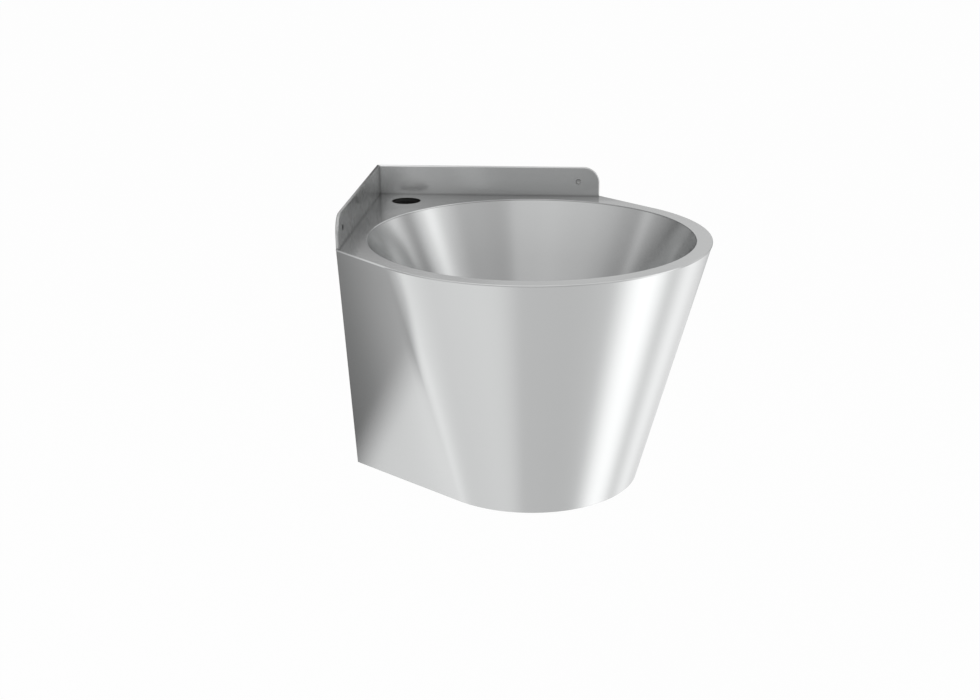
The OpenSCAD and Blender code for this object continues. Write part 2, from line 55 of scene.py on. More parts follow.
def plan_edge(bm, run, radius, height):
    """Draws the left flank, the round front and the right flank, as seen from above."""
    beyond = run + bowl_axis.y
    lean = math.asin(radius / math.hypot(bowl_axis.x, beyond)) - math.atan2(beyond, bowl_axis.x)
    centre = bowl_axis + Vector((0, 0, height))
    touch = centre - radius * Vector((math.sin(lean), math.cos(lean), 0))
    flank_end = Vector((0, touch.y + touch.x * math.tan(lean), height))
    start, turn_from = bm.verts.new(flank_end), bm.verts.new(touch)
    bm.edges.new((start, turn_from))
    arc = bmesh.ops.spin(bm, geom=[turn_from], cent=centre, axis=(0, 0, 1), dvec=(0, 0, 0),
                         angle=math.pi / 2 + 2 * lean, steps=192)
    end = bm.verts.new((-flank_end.y, -flank_end.x, height))
    bm.edges.new((last_vertex(arc), end))
    return start, end


def make_sheet(bm, facing, way):
    """Fills a flat outline with its holes, and gives it thickness."""
    bmesh.ops.triangle_fill(bm, edges=bm.edges[:], use_beauty=True, normal=facing)
    made = bmesh.ops.extrude_face_region(bm, geom=bm.faces[:])
    moved = [v for v in made["geom"] if isinstance(v, bmesh.types.BMVert)]
    bmesh.ops.translate(bm, verts=moved, vec=way)
    bmesh.ops.recalc_face_normals(bm, faces=bm.faces[:])
    bmesh.ops.dissolve_limit(bm, angle_limit=0.001, verts=[], edges=[
        e for e in bm.edges if len(e.link_faces) == 2 and e.calc_face_angle(0) < 0.001])


def is_square(edge):
    """True where two faces meet about at a right angle."""
    return len(edge.link_faces) == 2 and edge.calc_face_angle(0) > 1


def ease(bm, edges, width):
    """Rounds edges."""
    bmesh.ops.bevel(bm, geom=edges, offset=width, offset_type="OFFSET", segments=4, profile=0.5,
                    affect="EDGES", material=-1, clamp_overlap=True)


def new_object(bm, name, material):
    """Turns a bmesh into an object of the scene."""
    mesh = bpy.data.meshes.new(name)
    bm.to_mesh(mesh)
    bm.free()
    mesh.materials.append(material)
    thing = bpy.data.objects.new(name, mesh)
    bpy.context.scene.collection.objects.link(thing)
    return thing


def finish_piece(bm, name, material):
    """Turns a bmesh into a piece of the basin, with soft shading over its small edges."""
    piece = new_object(bm, name, material)
    piece.data.shade_smooth()
    piece.data.set_sharp_from_angle(angle=math.radians(35))
    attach(piece, "root")
    return piece


def flat_faces(piece):
    """Keeps large faces flat to the light beside their rounded edges."""
    piece.modifiers.new("flat faces", "WEIGHTED_NORMAL").keep_sharp = True


def linear(code):
    """An sRGB hex colour as linear red, green, blue and alpha."""
    parts = [int(code[i:i + 2], 16) / 255 for i in (1, 3, 5)]
    return [p / 12.92 if p <= 0.04045 else ((p + 0.055) / 1.055) ** 2.4 for p in parts] + [1]


def put(tree, kind, inputs=(), **settings):
    """Adds one node with its settings; its inputs are values or other nodes' outputs."""
    made = tree.nodes.new(kind)
    for key, value in settings.items():
        setattr(made, key, value)
    for key, value in dict(inputs).items():
        if isinstance(value, bpy.types.NodeSocket):
            tree.links.new(value, made.inputs[key])
        else:
            made.inputs[key].default_value = value
    return made


def blank(name):
    """A material with an output and nothing else."""
    material = bpy.data.materials.new(name)
    material.use_nodes = True
    tree = material.node_tree
    tree.nodes.clear()
    return material, tree, tree.nodes.new("ShaderNodeOutputMaterial")


# Satin stainless steel, 1.4301, belt-ground with a fine grit. To the eye it is a cool grey metal
# whose reflections are drawn out across the grinding lines and stay fairly crisp along them. The
# lines are about 0.1 mm apart on the real sheet and are drawn 0.5 mm apart, as a very faint grain.
line_gap, line_length, cloud_size = 0.0005, 0.060, 0.060
roughness_spread, grain_contrast = 0.012, 0.98


def satin_steel(name, tone, roughness, stretch, straight=None, painted_fold_shades=()):
    """Grinding lines run straight, along the given direction, or else round the bowl's axis.

    Painted shade: each of the folds tints the colour by the distance from a fold, a corner or a
    hollow. It is mostly darker there, where shade falls, and on the back upstand lighter beside the
    corner, as painted light. Each is given by the way that leads off from it, the place along
    that way where it starts, and its tints by the distance from there. What lies more than 1 mm
    before the start is its outside, and isn't tinted.
    """
    material, tree, out = blank(name)
    place = put(tree, "ShaderNodeTexCoord").outputs["Object"]
    offset = put(tree, "ShaderNodeVectorMath", {0: place, 1: bowl_axis}, operation="SUBTRACT")
    if straight:
        grain_way = put(tree, "ShaderNodeCombineXYZ", enumerate(straight))
        line_place = put(tree, "ShaderNodeMapping", {
            "Vector": offset.outputs[0],
            "Rotation": (0, 0, -math.atan2(straight[1], straight[0])),
            "Scale": (1 / line_length, 1 / line_gap, 1 / line_gap)}, vector_type="POINT")
    else:
        part = put(tree, "ShaderNodeSeparateXYZ", {0: offset.outputs[0]})
        flat = put(tree, "ShaderNodeCombineXYZ", {0: part.outputs[0], 1: part.outputs[1]})
        reach = put(tree, "ShaderNodeVectorMath", {0: flat.outputs[0]}, operation="LENGTH")
        grain_way = put(tree, "ShaderNodeVectorMath", {0: flat.outputs[0], 1: (0, 0, 1)},
                        operation="CROSS_PRODUCT")
        round_way = put(tree, "ShaderNodeVectorMath", {0: flat.outputs[0]}, operation="NORMALIZE")
        across = put(tree, "ShaderNodeMath", {0: reach.outputs["Value"], 1: part.outputs[2]},
                     operation="SUBTRACT")
        rows = put(tree, "ShaderNodeMath", {0: across.outputs[0], 1: 1 / line_gap},
                   operation="MULTIPLY")
        slow = put(tree, "ShaderNodeVectorMath", {0: round_way.outputs[0], "Scale": 2.0},
                   operation="SCALE")
        rise = put(tree, "ShaderNodeCombineXYZ", {2: rows.outputs[0]})
        line_place = put(tree, "ShaderNodeVectorMath", {0: slow.outputs[0], 1: rise.outputs[0]},
                         operation="ADD")
    lines = put(tree, "ShaderNodeTexNoise", {
        "Vector": line_place.outputs[0], "Scale": 1.0, "Detail": 3.0, "Roughness": 0.6})
    clouds = put(tree, "ShaderNodeTexNoise", {
        "Vector": place, "Scale": 1 / cloud_size, "Detail": 2.0})
    both = put(tree, "ShaderNodeMath", {0: lines.outputs["Fac"], 1: clouds.outputs["Fac"]},
               operation="ADD")
    rough = put(tree, "ShaderNodeMapRange", {
        "Value": both.outputs[0], "From Min": 0.6, "From Max": 1.4,
        "To Min": roughness - roughness_spread, "To Max": roughness + roughness_spread})
    light = linear(tone)
    dark = [c * grain_contrast for c in light[:3]] + [1]
    colour = put(tree, "ShaderNodeMix", {0: lines.outputs["Fac"], 6: dark, 7: light},
                 data_type="RGBA")
    outside = 0.001
    # Painted shade: each fold multiplies the colour by a ramp of tints by the distance from it.
    for way, start, tints in painted_fold_shades:
        *nearer, (end, last_tint) = tints
        along = put(tree, "ShaderNodeVectorMath", {0: place, 1: way}, operation="DOT_PRODUCT")
        near = put(tree, "ShaderNodeMapRange", {
            "Value": along.outputs["Value"], "From Min": start - outside, "From Max": start + end})
        ramp = put(tree, "ShaderNodeValToRGB", {"Fac": near.outputs[0]})
        row = ramp.color_ramp.elements
        row[0].color, row[1].color = (1, 1, 1, 1), (last_tint, last_tint, last_tint, 1)
        for away, tint in nearer:
            row.new((away + outside) / (end + outside)).color = (tint, tint, tint, 1)
        colour = put(tree, "ShaderNodeMix", {0: 1.0, 6: colour.outputs[2], 7: ramp.outputs[0]},
                     data_type="RGBA", blend_type="MULTIPLY")
    bump = put(tree, "ShaderNodeBump", {
        "Height": lines.outputs["Fac"], "Strength": 0.015, "Distance": 0.0001})
    shader = put(tree, "ShaderNodeBsdfPrincipled", {
        "Base Color": colour.outputs[2], "Metallic": 1.0, "Roughness": rough.outputs[0],
        "Anisotropic": stretch, "Anisotropic Rotation": 0.25, "Tangent": grain_way.outputs[0],
        "Normal": bump.outputs[0]})
    tree.links.new(shader.outputs[0], out.inputs["Surface"])
    return material


upstand_thickness = 0.0035
# Painted shade: the deck's colour is darker towards both upstands and over a wide patch round the
# back corner, where shade falls.
deck_steel = satin_steel("satin steel, deck", "#C8C9C9", 0.22, 0.3, straight=(1, 0, 0), painted_fold_shades=(
    ((1, 0, 0), upstand_thickness, (
        (0, 0.50), (0.0008, 0.58), (0.0025, 0.76), (0.040, 0.83), (0.075, 0.90), (0.110, 1))),
    ((0, -1, 0), upstand_thickness, (
        (0, 0.64), (0.0008, 0.70), (0.0025, 0.74), (0.018, 0.78), (0.030, 0.95), (0.060, 1))),
    ((0.5, -1, 0), 0.0, ((0, 0.52), (0.100, 0.53), (0.130, 0.73), (0.160, 0.92), (0.200, 1)))))
# The polished edges are smoother than the deck, and their lighter tone is a painted highlight.
# Towards the back, near the upstands, they are painted darker, as painted shade.
edge_steel = satin_steel(
    "satin steel, polished edges", "#DCDDDD", 0.18, 0.0, straight=(1, 0, 0),
    painted_fold_shades=(((-0.3, -1, 0), -0.12, ((0, 0.60), (0.115, 0.64), (0.155, 1))),))
# The backs of the sheets keep the mill's duller grey. The cut edges are near black: partly the
# laser's dark oxide, partly painted shade that stands for the shadow inside the holes.
mill_steel = satin_steel(
    "rolled steel, backs of the sheets", "#BDBEBD", 0.36, 0.3, straight=(1, 0, 0))
cut_edge_and_hole_shade = satin_steel("laser-cut edge, oxidised", "#2A2928", 0.55, 0.0, straight=(1, 0, 0))

bm = bmesh.new()
underside = Vector((0, 0, -sheet))
start, end = plan_edge(bm, deck_run, rim_radius, -sheet)
corner = bm.verts.new(underside)
bm.edges.new((start, corner))
bm.edges.new((corner, end))
bmesh.ops.create_circle(bm, segments=256, radius=mouth_radius,
                        matrix=Matrix.Translation(bowl_axis + underside))
bmesh.ops.create_circle(bm, segments=64, radius=tap_radius,
                        matrix=Matrix.Translation(tap_centre + underside))
make_sheet(bm, (0, 0, 1), (0, 0, sheet))


def on_top(edge):
    """True for the deck's upper edges, apart from the two that carry the upstands."""
    return is_square(edge) and all(
        abs(v.co.z) < 1e-6 and v.co.x > 1e-4 and v.co.y < -1e-4 for v in edge.verts)


def nearest(edge, centre):
    """How close an edge's ends come to a centre, seen from above."""
    return min((v.co - centre).xy.length for v in edge.verts)


margin = 0.002
ease(bm, [e for e in bm.edges if on_top(e) and nearest(e, bowl_axis) < mouth_radius + margin],
     mouth_rounding)
ease(bm, [e for e in bm.edges if on_top(e) and nearest(e, bowl_axis) > rim_radius - margin
          and nearest(e, tap_centre) > tap_radius + margin], rim_rounding)
for face in bm.faces:
    tilt = abs(face.normal.z)
    from_tap = (face.calc_center_median() - tap_centre).xy.length
    if from_tap < tap_radius + 1e-4 and tilt < 0.5:
        face.material_index = 1
    elif 0.05 < tilt < 0.95:
        face.material_index = 2
    elif face.normal.z < -0.9:
        face.material_index = 3
deck = finish_piece(bm, "deck", deck_steel)
for steel in (cut_edge_and_hole_shade, edge_steel, mill_steel):
    deck.data.materials.append(steel)
flat_faces(deck)
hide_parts("deck_with_upstands")

# The upstands are folded up from the deck's two straight sides. Each is 36 mm high and 3.5 mm
# thick, with a hemmed edge, a free top corner of 20 mm radius and one screw hole. They meet in a
# mitre that is welded and ground sharp. The back one's colour is painted lighter beside the
# corner and darker further out, as painted light, and both are painted darker along their feet
# and in the corner itself, as painted shade.
upstand_height, hem_rounding, free_corner = 0.036, 0.0015, 0.020
hole_out, hole_up, hole_radius = 0.251, 0.018, 0.00325
upstand_steel = satin_steel(
    "satin steel, upstands", "#F4F5F5", 0.24, 0.3, straight=(1, 0, 0), painted_fold_shades=(
        ((1, 0, 0), upstand_thickness, (
            (0, 0.58), (0.0008, 0.76), (0.0025, 1), (0.030, 1), (0.045, 0.94), (0.065, 0.86),
            (0.080, 0.82), (0.095, 0.77), (0.112, 0.712))),
        ((0, 0, 1), 0.0, ((0, 0.60), (0.0008, 0.72), (0.0025, 0.90), (0.020, 1)))))
# Painted shade: the side upstand's colour is darker all over, most of all towards the corner.
side_steel = satin_steel(
    "satin steel, side upstand", "#C8C9C9", 0.27, 0.3, straight=(0, 1, 0), painted_fold_shades=(
        ((0, -1, 0), upstand_thickness, (
            (0, 0.45), (0.0015, 0.50), (0.004, 0.56), (0.030, 0.74), (0.150, 0.86),
            (0.300, 0.95))),
        ((0, 0, 1), 0.0, ((0, 0.60), (0.0008, 0.70), (0.0025, 0.97), (0.010, 1)))))


def from_hole(point):
    """Distance from the back upstand's screw hole, measured from the hole's axis."""
    return math.hypot(point.x - hole_out, point.z - hole_up)


def on_hem(edge):
    """True along the free edges in front and behind, but not at the foot, mitre or hole."""
    ends = [v.co for v in edge.verts]
    return (is_square(edge) and edge.calc_length() > 1e-6 and abs(ends[0].y - ends[1].y) < 1e-6
            and all(p.z > 0.001 or p.x > deck_run - 1e-5 for p in ends)
            and any(p.z > 0 for p in ends) and any(p.x >= 1e-5 for p in ends)
            and min(from_hole(p) for p in ends) > 2 * hole_radius)


def upstand(name, material, mirrored):
    """Makes the back upstand, or the side one, which is its mirror image."""
    bm = bmesh.new()
    foot = -0.0005
    inner_foot = bm.verts.new((0, 0, foot))
    outer_foot = bm.verts.new((deck_run, 0, foot))
    turn_from = bm.verts.new((deck_run, 0, upstand_height - free_corner))
    arc = bmesh.ops.spin(bm, geom=[turn_from], axis=(0, -1, 0), dvec=(0, 0, 0),
                         cent=(deck_run - free_corner, 0, upstand_height - free_corner),
                         angle=math.pi / 2, steps=24)
    inner_top = bm.verts.new((0, 0, upstand_height))
    for ends in ((inner_foot, outer_foot), (outer_foot, turn_from), (last_vertex(arc), inner_top),
                 (inner_top, inner_foot)):
        bm.edges.new(ends)
    bmesh.ops.create_circle(
        bm, segments=48, radius=hole_radius,
        matrix=Matrix.Translation((hole_out, 0, hole_up)) @ Matrix.Rotation(math.pi / 2, 4, "X"))
    make_sheet(bm, (0, -1, 0), (0, -upstand_thickness, 0))
    ease(bm, [e for e in bm.edges if on_hem(e)], hem_rounding)
    for v in bm.verts:
        if v.co.x < 1e-5:
            v.co.x = -v.co.y
    for face in bm.faces:
        if from_hole(face.calc_center_median()) < hole_radius and abs(face.normal.y) < 0.5:
            face.material_index = 1
        elif face.normal.y > 0.9:
            face.material_index = 2
    if mirrored:
        bmesh.ops.transform(bm, verts=bm.verts[:], matrix=Matrix(
            ((0, -1, 0, 0), (-1, 0, 0, 0), (0, 0, 1, 0), (0, 0, 0, 1))))
    bmesh.ops.recalc_face_normals(bm, faces=bm.faces[:])
    piece = finish_piece(bm, name, material)
    piece.data.materials.append(cut_edge_and_hole_shade)
    piece.data.materials.append(mill_steel)
    flat_faces(piece)
    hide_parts("deck_with_upstands")


upstand("upstand_back_wall", upstand_steel, False)
upstand("upstand_side_wall", side_steel, True)

# The bowl is pressed and spun from 1.5 mm sheet: a leaning round wall, a 40 mm round and a floor
# that falls to the recess of the waste. A narrow lip is welded under the deck's opening, and the
# inside is ground round and round to the same satin finish.
# Painted shade: the bowl's colour grows darker towards its floor.
bowl_steel = satin_steel("satin steel, bowl", "#C8C9C9", 0.22, 0.8, painted_fold_shades=(
    ((0, 0, 1), -0.130, ((0, 0.82), (0.065, 0.88), (0.100, 0.96), (0.122, 1))),))
wall_line = ((0.1875, -sheet), (mouth_radius, -sheet), (0.13215, -0.09858))
round_centre = (0.0962, -0.08104)
recess_line = ((0.041, -0.125), (0.036, -0.130), (0.02125, -0.130))


def on_section(point):
    """A point of the bowl's section, given by its radius and its height."""
    return bowl_axis + Vector((point[0], 0, point[1]))


def thicken(shell):
    """Gives a shell the sheet's thickness, behind its faces."""
    wall = shell.modifiers.new("wall", "SOLIDIFY")
    wall.thickness, wall.offset, wall.use_even_offset = sheet, -1, True


bm = bmesh.new()
section = [bm.verts.new(on_section(point)) for point in wall_line]
for one, two in zip(section, section[1:]):
    bm.edges.new((one, two))
arc = bmesh.ops.spin(bm, geom=[section[-1]], cent=on_section(round_centre), axis=(0, 1, 0),
                     dvec=(0, 0, 0), angle=math.radians(60), steps=16)
last = last_vertex(arc)
for point in recess_line:
    new = bm.verts.new(on_section(point))
    bm.edges.new((last, new))
    last = new
bmesh.ops.spin(bm, geom=bm.verts[:] + bm.edges[:], cent=bowl_axis, axis=(0, 0, 1), dvec=(0, 0, 0),
               angle=2 * math.pi, steps=192, use_merge=True)
bmesh.ops.remove_doubles(bm, verts=bm.verts[:], dist=1e-6)
bmesh.ops.recalc_face_normals(bm, faces=bm.faces[:])
lip = max(bm.faces, key=lambda f: (f.calc_center_median() - bowl_axis).xy.length)
if lip.normal.z < 0:
    bmesh.ops.reverse_faces(bm, faces=bm.faces[:])
bowl = finish_piece(bm, "bowl_shell", bowl_steel)
thicken(bowl)
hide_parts("bowl")

# The skirt is one bent sheet that hides the waste: a cone in front that runs out into two flanks,
# which lean inwards on the way down. It is welded under the deck's rim and ground round about.
skirt_height, base_run, base_radius = 0.277, 0.205, 0.123
skirt_steel = satin_steel("satin steel, skirt", "#C8C9C9", 0.22, 0.8)
bm = bmesh.new()
plan_edge(bm, base_run, base_radius, -skirt_height)
plan_edge(bm, deck_run, rim_radius, 0)
bmesh.ops.bridge_loops(bm, edges=bm.edges[:])
longer_than_front_steps, rising = 0.04, 0.1
flanks = [e for e in bm.edges if e.calc_length() > longer_than_front_steps
          and e.verts[0].co.z == e.verts[1].co.z]
bmesh.ops.subdivide_edges(bm, edges=flanks, cuts=11, use_grid_fill=True)
rulings = [e for e in bm.edges if abs(e.verts[0].co.z - e.verts[1].co.z) > rising]
bmesh.ops.subdivide_edges(bm, edges=rulings, cuts=15, use_grid_fill=True)
bmesh.ops.bisect_plane(bm, geom=bm.verts[:] + bm.edges[:] + bm.faces[:], plane_co=underside,
                       plane_no=(0, 0, 1), clear_outer=True)
bmesh.ops.recalc_face_normals(bm, faces=bm.faces[:])
front = min(bm.faces, key=lambda f: f.calc_center_median().y)
if front.normal.y > 0:
    bmesh.ops.reverse_faces(bm, faces=bm.faces[:])
skirt = finish_piece(bm, "skirt_shell", skirt_steel)
thicken(skirt)
edge = skirt.modifiers.new("edge", "BEVEL")
edge.width, edge.segments, edge.harden_normals = 0.0005, 2, True
edge.limit_method, edge.angle_limit = "ANGLE", math.radians(50)
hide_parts("skirt")


# The flanges and the earth lug are cut from the same sheet and welded inside. They are out of
# sight, so they keep the mill's plain rolled finish.
def cover(material, *names):
    """Gives carried-over nodes a material."""
    for name in names:
        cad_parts[name].data.materials.clear()
        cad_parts[name].data.materials.append(material)


cover(mill_steel, "base_flange", "right_wall_flange", "left_wall_flange", "earth_tag")

# The waste, its strainer and its screw are chromed brass. Polished chrome is a bright, slightly
# blue mirror with hardly any grain; only faint wipe marks break it up.
chromed_brass, tree, out = blank("chromed brass")
place = put(tree, "ShaderNodeTexCoord").outputs["Object"]
mark_size = 0.008
marks = put(tree, "ShaderNodeTexNoise", {"Vector": place, "Scale": 1 / mark_size, "Detail": 4.0})
rough = put(tree, "ShaderNodeMapRange", {
    "Value": marks.outputs["Fac"], "From Min": 0.3, "From Max": 0.7, "To Min": 0.07,
    "To Max": 0.14})
colour = put(tree, "ShaderNodeMix", {
    0: marks.outputs["Fac"], 6: linear("#D2D3D5"), 7: linear("#DCDDDE")}, data_type="RGBA")
shader = put(tree, "ShaderNodeBsdfPrincipled", {
    "Base Color": colour.outputs[2], "Metallic": 1.0, "Roughness": rough.outputs[0]})
tree.links.new(shader.outputs[0], out.inputs["Surface"])
cover(chromed_brass, "waste_body", "strainer_grid", "strainer_screw")


# The trap, its nuts, the pipes, the elbow and the rosette are moulded polypropylene: off-white,
# waxy and half matt, with a fine moulded grain of about 0.5 mm.
def polymer(name, tone, second, roughness, ior, grain, depth):
    """A plastic, rubber or coat with a fine grain and slow changes between two tones."""
    material, tree, out = blank(name)
    place = put(tree, "ShaderNodeTexCoord").outputs["Object"]
    cloud_size, spread = 0.030, 0.05
    fine = put(tree, "ShaderNodeTexNoise", {"Vector": place, "Scale": 1 / grain, "Detail": 3.0})
    wide = put(tree, "ShaderNodeTexNoise", {
        "Vector": place, "Scale": 1 / cloud_size, "Detail": 2.0})
    colour = put(tree, "ShaderNodeMix", {
        0: wide.outputs["Fac"], 6: linear(tone), 7: linear(second)}, data_type="RGBA")
    rough = put(tree, "ShaderNodeMapRange", {
        "Value": fine.outputs["Fac"], "From Min": 0.3, "From Max": 0.7,
        "To Min": roughness - spread, "To Max": roughness + spread})
    bump = put(tree, "ShaderNodeBump", {
        "Height": fine.outputs["Fac"], "Strength": 0.3, "Distance": depth})
    shader = put(tree, "ShaderNodeBsdfPrincipled", {
        "Base Color": colour.outputs[2], "Roughness": rough.outputs[0], "IOR": ior,
        "Normal": bump.outputs[0]})
    tree.links.new(shader.outputs[0], out.inputs["Surface"])
    return material


polypropylene = polymer(
    "moulded polypropylene", "#E9E9E4", "#E2E2DC", roughness=0.42, ior=1.49, grain=0.0005,
    depth=0.00005)
cover(polypropylene, "friction_washer", "backnut", "inlet_nut", "trap_head", "dip_tube",
      "outlet_nut", "drain_pipe", "drain_elbow", "wall_pipe", "wall_rosette")

# The trap's cup is moulded in a smoother, slightly grey styrene, so that it comes off the mould
# with more gloss than the rest.
cup_styrene = polymer(
    "moulded styrene", "#DCDFDF", "#D5D9D9", roughness=0.22, ior=1.59, grain=0.0009,
    depth=0.00002)
cover(cup_styrene, "trap_cup")

# A thin disc of silicone, pale grey and half matt, closes each upstand's screw hole from behind.
# Its grey is painted shade: it stands for the shaded wall that would show through the hole. It
# keeps splash water out, and the screw is driven through it when the basin is hung.
seal_and_wall_shade = polymer(
    "grey silicone", "#DCDDDD", "#E3E4E4", roughness=0.50, ior=1.41, grain=0.0012, depth=0.00003)
disc_depth, disc_inset = 0.0006, 0.0005
for name, place, axis in (
        ("hole_seal_back_wall", (hole_out, -disc_inset, hole_up), "X"),
        ("hole_seal_side_wall", (disc_inset, -hole_out, hole_up), "Y")):
    bm = bmesh.new()
    bmesh.ops.create_cone(
        bm, cap_ends=True, segments=48, radius1=hole_radius, radius2=hole_radius, depth=disc_depth,
        matrix=Matrix.Translation(place) @ Matrix.Rotation(math.pi / 2, 4, axis))
    finish_piece(bm, name, seal_and_wall_shade)

# The hanging bracket and the plate under the tap hole are cut from plain steel and powder-coated
# black. The coat is matt, and its black is also painted shade: it stands for the dark under the
# deck that shows through the tap hole.
black_coat_and_shade = polymer(
    "black powder coat", "#0A0A0A", "#101010", roughness=0.70, ior=1.50, grain=0.0008,
    depth=0.00004)
cover(black_coat_and_shade, "tap_hole_plate", "corner_bracket")

# The seals are black EPDM rubber, matt with a dusty bloom. The ring under the bowl's floor is
# bitumen felt: dark grey, coarse and quite matt.
seal_rubber = polymer(
    "EPDM rubber", "#1B1B1C", "#242425", roughness=0.68, ior=1.52, grain=0.0008, depth=0.0001)
cover(seal_rubber, "upper_gasket", "lower_gasket", "inlet_washer", "cup_seal", "outlet_washer")
bitumen_felt = polymer(
    "bitumen felt", "#3A3A3C", "#2C2C2E", roughness=0.85, ior=1.50, grain=0.0022, depth=0.0006)
cover(bitumen_felt, "sound_pad")

# The camera stands in front of the basin, a little to the right of its middle, and looks down on
# it. Its focal length is given in pixels of the picture.
focal_pixels, picture_width = 1312.13, 980
camera_place = (0.27219, -1.60360, 0.35482)
yaw, pitch, roll = math.radians(-4.7079), math.radians(19.2005), math.radians(0.3331)
camera = bpy.data.objects.new("camera", bpy.data.cameras.new("camera"))
bpy.context.scene.collection.objects.link(camera)
camera.data.sensor_width, camera.data.lens = 36, focal_pixels / picture_width * 36
ahead = Vector((math.sin(yaw) * math.cos(pitch), math.cos(yaw) * math.cos(pitch),
                -math.sin(pitch)))
level = Vector((math.cos(yaw), -math.sin(yaw), 0))
below = ahead.cross(level)
sideways = math.cos(roll) * level + math.sin(roll) * below
down = math.cos(roll) * below - math.sin(roll) * level
camera.matrix_world = Matrix.Translation(camera_place) @ Matrix(
    (sideways, -down, -ahead)).transposed().to_4x4()
bpy.context.scene.camera = camera


# The studio is a pale floor in white surroundings, and cards that only reflections see. A wide ring
# of cards stands round the basin. Its tones follow the compass, so that each upright strip of the
# skirt and of the bowl mirrors its own card, with other tones at other heights.
def stage_piece(bm, name, material):
    """Turns a bmesh into a part of the studio."""
    thing = new_object(bm, name, material)
    return thing


floor_paint, tree, out = blank("floor paint")
floor_height, brightness_to_camera = -0.85, 0.97
paint = put(tree, "ShaderNodeBsdfDiffuse", {"Color": linear("#F4F4F4")})
white = put(tree, "ShaderNodeEmission", {"Color": (1, 1, 1, 1), "Strength": 1.0})
rays = put(tree, "ShaderNodeLightPath")
seen = put(tree, "ShaderNodeMath", {0: rays.outputs["Is Camera Ray"], 1: brightness_to_camera},
           operation="MULTIPLY")
mix = put(tree, "ShaderNodeMixShader", {
    0: seen.outputs[0], 1: paint.outputs[0], 2: white.outputs[0]})
tree.links.new(mix.outputs[0], out.inputs["Surface"])
bm = bmesh.new()
bmesh.ops.create_grid(bm, x_segments=1, y_segments=1, size=20,
                      matrix=Matrix.Translation((0, 0, floor_height)))
floor = stage_piece(bm, "floor", floor_paint)
floor.visible_glossy = False

card_tones, tree, out = blank("card tones")
place = put(tree, "ShaderNodeTexCoord").outputs["Object"]
offset = put(tree, "ShaderNodeVectorMath", {0: place, 1: bowl_axis}, operation="SUBTRACT")
part = put(tree, "ShaderNodeSeparateXYZ", {0: offset.outputs[0]})
compass = put(tree, "ShaderNodeMath", {0: part.outputs[1], 1: part.outputs[0]},
              operation="ARCTAN2")
turn = put(tree, "ShaderNodeMapRange", {
    "Value": compass.outputs[0], "From Min": -math.pi, "From Max": math.pi})


def band(stops):
    """A band of tones, each given by its compass direction in degrees and its brightness."""
    ramp = put(tree, "ShaderNodeValToRGB", {"Fac": turn.outputs[0]})
    row = ramp.color_ramp.elements
    row[0].color = row[1].color = (stops[0][1],) * 3 + (1,)
    for degrees, tone in stops[1:]:
        row.new((degrees + 180) / 360).color = (tone, tone, tone, 1)
    return ramp.outputs[0]


# The first band is the lowest. Each of the others takes over from the one before it between two
# heights, which are in metres above the deck.
tones = band((
    (180, 0.56), (-172, 0.54), (-162, 0.50), (-150, 0.53), (-125, 0.56), (-112, 0.55),
    (-103, 0.49), (-95, 0.42), (-60, 0.41), (-38, 0.42), (-28, 0.43), (-21, 0.58), (-12, 0.84),
    (-2, 0.94), (6, 0.90), (14, 0.70), (21, 0.43), (26, 0.48), (34, 0.66), (42, 0.72), (52, 0.58),
    (60, 0.48), (75, 0.45), (150, 0.55), (162, 0.60), (168, 0.80), (174, 0.82), (178, 0.60)))
for foot, head, stops in (
        (-2.0, -0.9, (
            (180, 0.20), (-165, 0.28), (-150, 0.34), (-110, 0.30), (-60, 0.30), (-30, 0.40),
            (-10, 0.70), (5, 0.60), (20, 0.30), (45, 0.28), (60, 0.18), (75, 0.12), (90, 0.07),
            (121, 0.08), (141, 0.12), (160, 0.16))),
        (0.35, 1.0, (
            (180, 0.12), (-155, 0.34), (-139, 0.43), (-120, 0.34), (-98, 0.46), (-94, 0.35),
            (-90, 0.30), (-82, 0.33), (-66, 0.25), (-52, 0.36), (-42, 0.42), (-32, 0.22),
            (-14, 0.36), (0, 0.50), (9, 0.82), (14, 0.42), (19, 0.18), (24, 0.25), (31, 0.46),
            (37, 0.60), (45, 0.40), (55, 0.30), (70, 0.36), (80, 0.42), (86, 0.38), (94, 0.35),
            (101, 0.40), (110, 0.36), (141, 0.17), (152, 0.20), (162, 0.26))),
        (1.7, 2.4, (
            (180, 0.30), (-168, 0.29), (-155, 0.36), (-140, 0.40), (-106, 0.44), (-72, 0.43),
            (-66, 0.35), (-58, 0.31), (-30, 0.33), (-17, 0.38), (-12, 0.50), (-6, 0.76),
            (-2, 0.99), (3, 0.99), (9, 0.50), (13, 0.30), (24, 0.30), (36, 0.40), (55, 0.38),
            (80, 0.38), (130, 0.38), (148, 0.22), (156, 0.27), (163, 0.38), (170, 0.62),
            (174, 0.54))),
        (2.9, 3.4, (
            (180, 0.34), (-168, 0.35), (-155, 0.37), (-140, 0.40), (-106, 0.44), (-72, 0.43),
            (-66, 0.35), (-58, 0.31), (-30, 0.33), (-22, 0.35), (-13, 0.55), (-7, 0.55),
            (-1, 0.42), (8, 0.34), (36, 0.36), (66, 0.35), (96, 0.36), (130, 0.38),
            (155, 0.34)))):
    rise = put(tree, "ShaderNodeMapRange", {
        "Value": part.outputs[2], "From Min": foot, "From Max": head})
    tones = put(tree, "ShaderNodeMix", {0: rise.outputs[0], 6: tones, 7: band(stops)},
                data_type="RGBA").outputs[2]
brightness = put(tree, "ShaderNodeMapRange", {
    "Value": part.outputs[2], "From Min": -7.5, "From Max": -4.0, "To Min": 1.86, "To Max": 2.08})
glow = put(tree, "ShaderNodeEmission", {"Color": tones, "Strength": brightness.outputs[0]})
tree.links.new(glow.outputs[0], out.inputs["Surface"])
ring_radius, ring_height = 5, 24
bm = bmesh.new()
bmesh.ops.create_cone(bm, cap_ends=False, segments=128, radius1=ring_radius, radius2=ring_radius,
                      depth=ring_height, matrix=Matrix.Translation(bowl_axis))
ring = stage_piece(bm, "ring_of_cards", card_tones)

